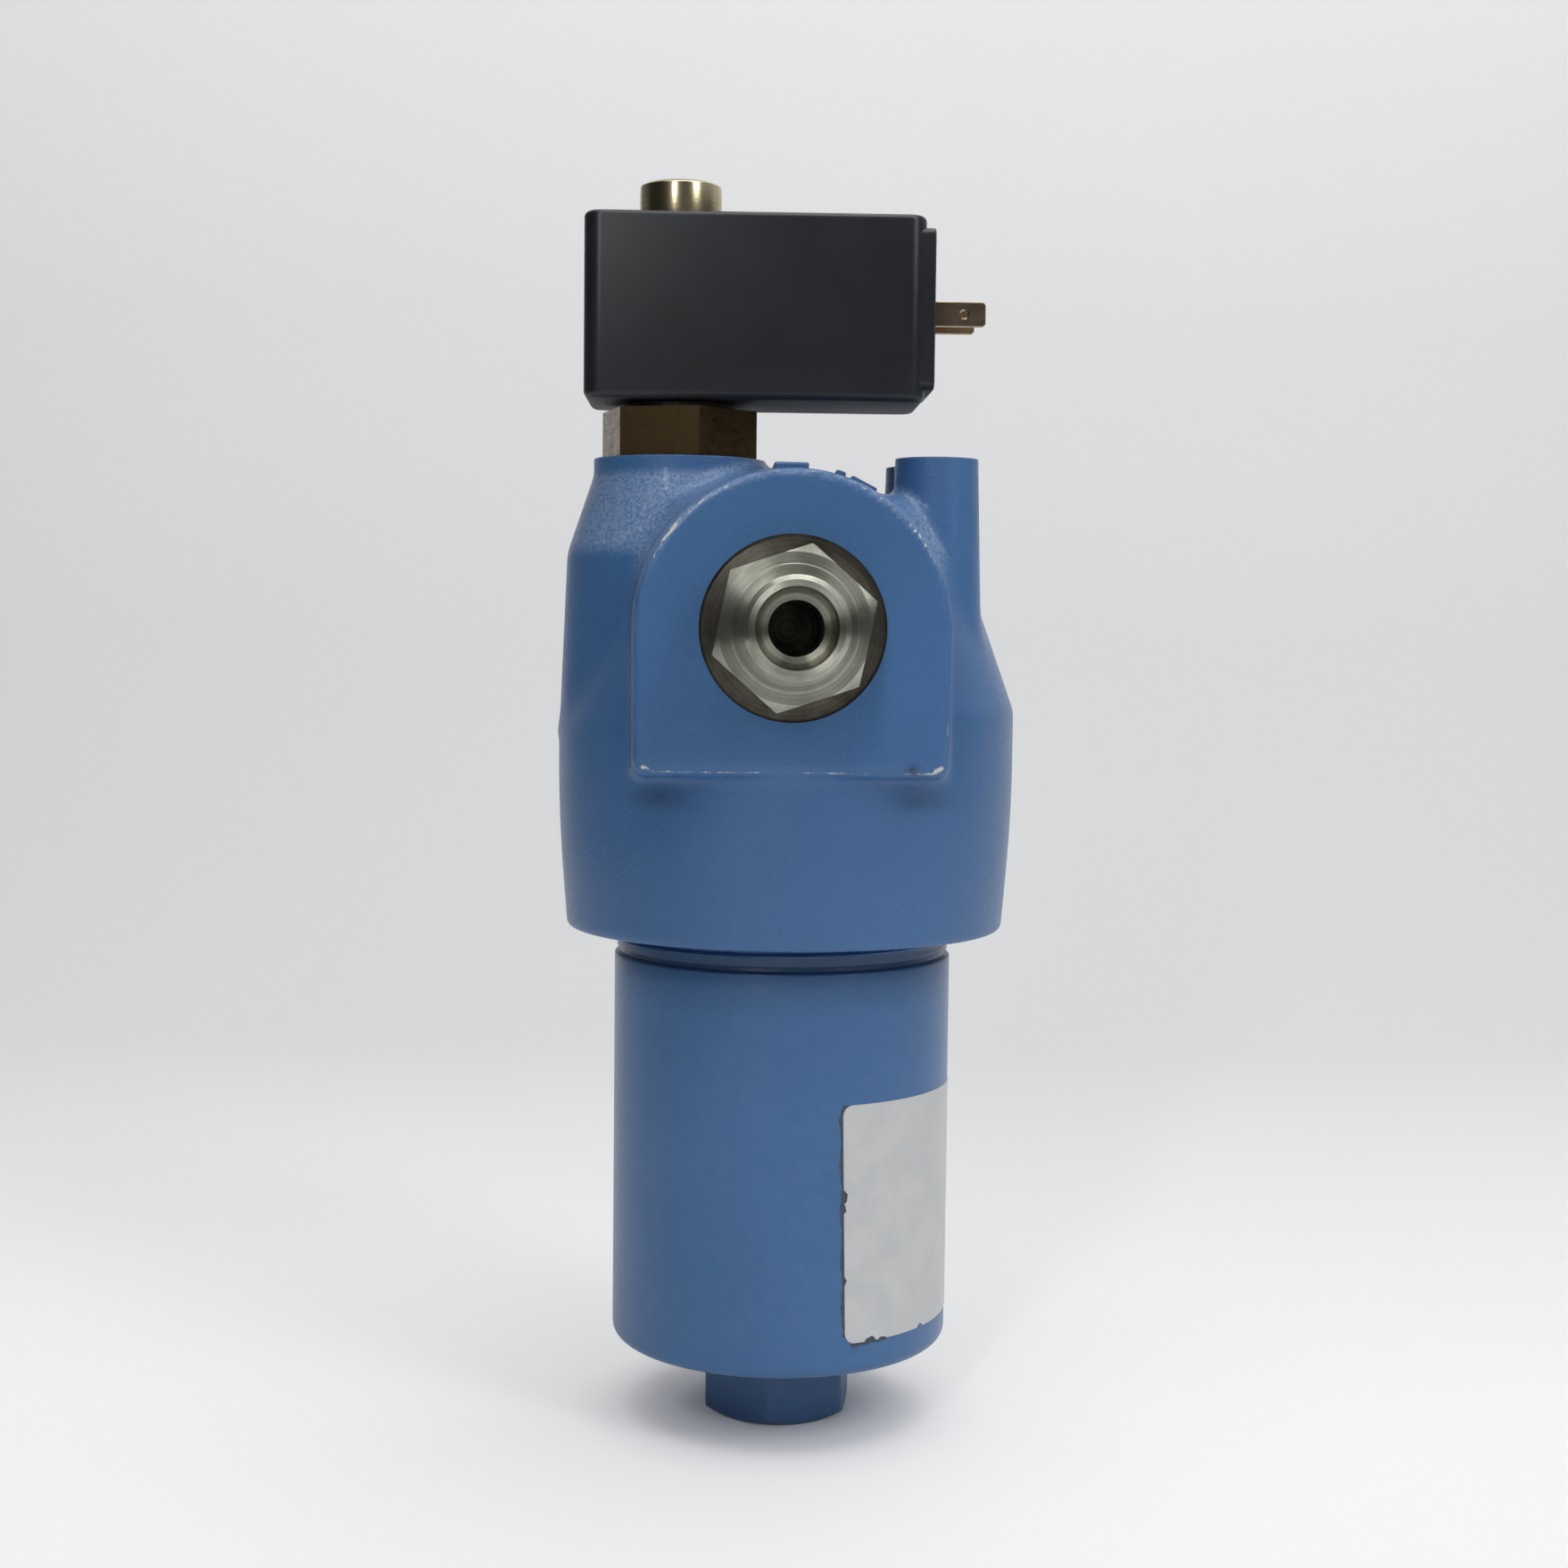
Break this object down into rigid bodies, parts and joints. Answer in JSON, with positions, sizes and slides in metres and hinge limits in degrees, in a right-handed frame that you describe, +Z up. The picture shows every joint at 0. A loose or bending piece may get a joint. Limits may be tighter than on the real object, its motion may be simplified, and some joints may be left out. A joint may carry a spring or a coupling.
{
  "type": "in-line hydraulic filter",
  "caption": "In-line high-pressure oil filter: cast head with opposed ports, screw-in bowl with hexagon foot, pleated element, bypass valve and electrical clogging indicator.",
  "frame": {"origin": "centre of the flat end of the bowl's hexagon foot, on the bowl's axis", "axes": "+Z up along the bowl's axis, -Y out of the inlet port, +Y out of the outlet port, +X towards the mounting bosses and the connector end of the switch housing"},
  "size_m": [0.0888, 0.1153, 0.2403],
  "materials": {
    "blue_enamel": "sprayed blue enamel over cast iron and steel, worn at the edges",
    "plated_steel": "turned and plated steel",
    "spring_steel": "drawn spring steel",
    "tinplate": "pressed tinplate",
    "turned_brass": "turned brass, lightly tarnished",
    "tinned_brass": "tin plated brass",
    "black_thermoplastic": "moulded glass-filled thermoplastic",
    "nitrile_rubber": "moulded nitrile",
    "ptfe": "skived PTFE",
    "glass_fibre_medium": "pleated glass-fibre medium",
    "magnet_ferrite": "sintered ferrite",
    "reed_glass": "sealed glass tube"
  },
  "bodies": {
    "head": {"filter_head": "blue_enamel", "port_adapter": "plated_steel", "port_adapter_seal": "nitrile_rubber", "bypass_retaining_ring": "spring_steel", "bypass_seat": "plated_steel", "bypass_spring": "spring_steel", "indicator_body": "turned_brass", "indicator_nose_o_ring": "nitrile_rubber", "indicator_boss_o_ring": "nitrile_rubber", "piston_stop_ring": "spring_steel", "indicator_spring": "spring_steel", "retaining_nut": "turned_brass"},
    "element": {"element_top_cap": "tinplate", "element_bottom_cap": "tinplate", "element_pleats": "glass_fibre_medium", "element_core_tube": "tinplate", "element_o_ring": "nitrile_rubber"},
    "bowl": {"filter_bowl": "blue_enamel", "bowl_o_ring": "nitrile_rubber", "bowl_backup_ring": "ptfe"},
    "bypass": {"bypass_poppet": "plated_steel"},
    "piston": {"indicator_piston": "plated_steel", "indicator_magnet": "magnet_ferrite"},
    "switch": {"switch_housing": "black_thermoplastic", "connector_plate": "black_thermoplastic", "contact_blade_front": "tinned_brass", "contact_blade_rear": "tinned_brass", "reed_switch": "reed_glass", "housing_lower_gasket": "nitrile_rubber", "housing_upper_gasket": "nitrile_rubber"}
  },
  "joints": [
    {"name": "bowl_lower", "type": "slide", "parent": "head", "child": "element", "axis": [0, 0, -1], "range_m": [0, 0.019]},
    {"name": "bowl_unscrew", "type": "hinge", "parent": "element", "child": "bowl", "pos_m": [0, 0, 0.06], "axis": [0, 0, -1], "range_deg": [0, 3420]},
    {"name": "housing_swivel", "type": "hinge", "parent": "head", "child": "switch", "pos_m": [-0.0212, 0, 0.2], "axis": [0, 0, 1], "continuous": true},
    {"name": "piston_travel", "type": "slide", "parent": "head", "child": "piston", "axis": [0, 0, 1], "range_m": [0, 0.003], "stiffness_N_per_m": 800, "springref_m": -0.003, "deforming": ["indicator_spring"]},
    {"name": "bypass_lift", "type": "slide", "parent": "head", "child": "bypass", "axis": [0, 0, 1], "range_m": [0, 0.003], "stiffness_N_per_m": 1500, "springref_m": -0.004, "deforming": ["bypass_spring"]}
  ],
  "couplings": [
    {"joint": "bowl_lower", "follows": "bowl_unscrew", "m_per_rad": 0.00031831}
  ]
}
